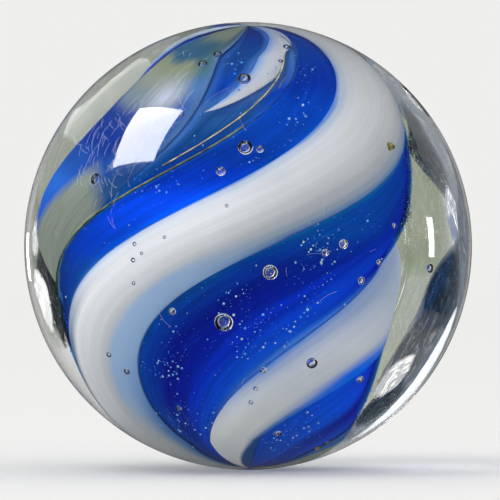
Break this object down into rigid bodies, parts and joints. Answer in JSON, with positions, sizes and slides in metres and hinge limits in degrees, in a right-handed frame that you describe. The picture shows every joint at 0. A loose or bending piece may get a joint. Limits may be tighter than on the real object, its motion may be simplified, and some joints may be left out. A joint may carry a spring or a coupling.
{
  "type": "glass marble",
  "caption": "Clear glass ball cased over a twisted core of blue glass with white ribbons laid in its skin.",
  "frame": {"origin": "centre of the ball", "axes": "+Z along the axis that the glass was twisted about; -Y faces the viewer of the swirl's fuller side"},
  "size_m": [0.025, 0.025, 0.025],
  "materials": {
    "clear_glass": "polished, with fine scratches",
    "blue_glass": "transparent cobalt blue",
    "white_glass": "opal glass, milky white"
  },
  "bodies": {
    "root": {"clear_casing": "clear_glass", "blue_core": "blue_glass", "white_ribbon_1": "white_glass", "white_ribbon_2": "white_glass", "white_ribbon_3": "white_glass", "white_thread": "white_glass"}
  },
  "joints": []
}
